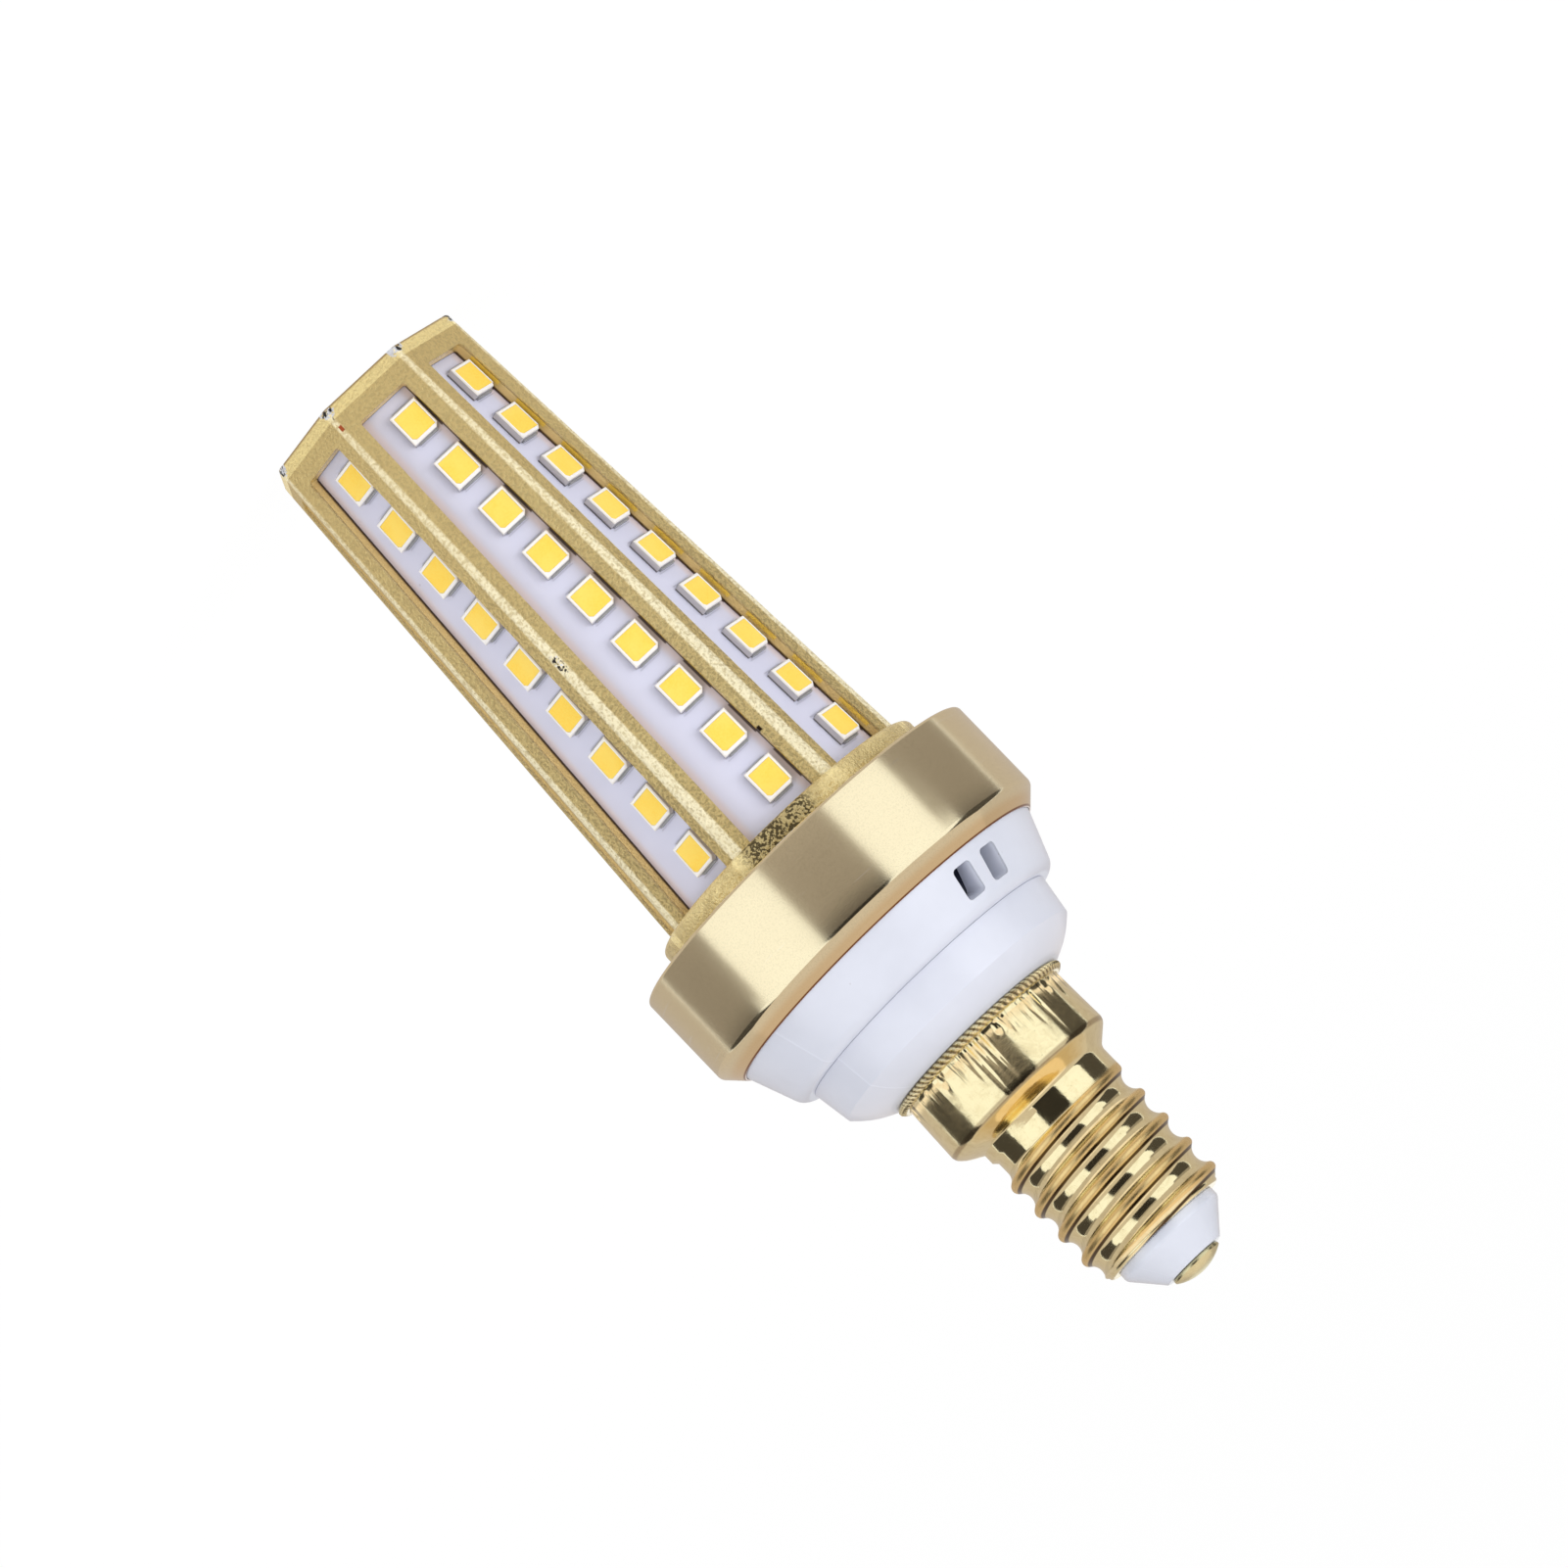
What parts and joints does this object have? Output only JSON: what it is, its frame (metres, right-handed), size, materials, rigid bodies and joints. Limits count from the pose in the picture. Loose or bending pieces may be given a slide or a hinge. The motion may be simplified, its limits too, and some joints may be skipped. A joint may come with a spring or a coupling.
{
  "type": "corn led bulb",
  "caption": "Corn LED lamp: tapered octagonal gold cage of LED strips, round collar, white driver housing and a small screw cap.",
  "frame": {"origin": "centre of the flat octagonal head face, which the lamp stands on", "axes": "+Z along the lamp axis from the head to the screw cap; -Y faces the middle window that the picture shows"},
  "size_m": [0.036, 0.036, 0.1022],
  "materials": {
    "cage_gold": "gold anodised, blasted grain",
    "collar_gold": "gold anodised, satin",
    "board_white": "white solder mask",
    "led_white": "white package",
    "phosphor_yellow": "silicone phosphor",
    "terminal_tin": "tinned",
    "housing_white": "moulded white plastic",
    "cap_brass": "polished pale brass plate",
    "insulator_white": "smooth white",
    "driver_board": "bare laminate",
    "capacitor_sleeve": "dark sleeve",
    "film_box": "dipped box",
    "chip_black": "moulded",
    "resistor_body": "coated",
    "wire_sleeve": "insulated lead"
  },
  "bodies": {
    "root": {"cage_housing": "cage_gold", "head_board": "board_white", "joining_board": "board_white", "collar_ring": "collar_gold", "upper_housing": "housing_white", "lower_housing": "housing_white", "screw_shell": "cap_brass", "tip_insulator": "insulator_white", "centre_contact": "cap_brass", "driver_board": "driver_board", "smoothing_capacitor": "capacitor_sleeve", "film_capacitor": "film_box", "driver_chip": "chip_black", "bridge_rectifier": "chip_black", "inductor": "chip_black", "surge_resistor": "resistor_body", "output_wire_1": "wire_sleeve", "output_wire_2": "wire_sleeve", "contact_wire": "wire_sleeve", "shell_wire": "wire_sleeve", "led_board_1": "board_white", "led_bodies_1": "led_white", "led_phosphor_1": "phosphor_yellow", "led_terminals_1": "terminal_tin", "led_board_2": "board_white", "led_bodies_2": "led_white", "led_phosphor_2": "phosphor_yellow", "led_terminals_2": "terminal_tin", "led_board_3": "board_white", "led_bodies_3": "led_white", "led_phosphor_3": "phosphor_yellow", "led_terminals_3": "terminal_tin", "led_board_4": "board_white", "led_bodies_4": "led_white", "led_phosphor_4": "phosphor_yellow", "led_terminals_4": "terminal_tin", "led_board_5": "board_white", "led_bodies_5": "led_white", "led_phosphor_5": "phosphor_yellow", "led_terminals_5": "terminal_tin", "led_board_6": "board_white", "led_bodies_6": "led_white", "led_phosphor_6": "phosphor_yellow", "led_terminals_6": "terminal_tin", "led_board_7": "board_white", "led_bodies_7": "led_white", "led_phosphor_7": "phosphor_yellow", "led_terminals_7": "terminal_tin", "led_board_8": "board_white", "led_bodies_8": "led_white", "led_phosphor_8": "phosphor_yellow", "led_terminals_8": "terminal_tin"}
  },
  "joints": []
}
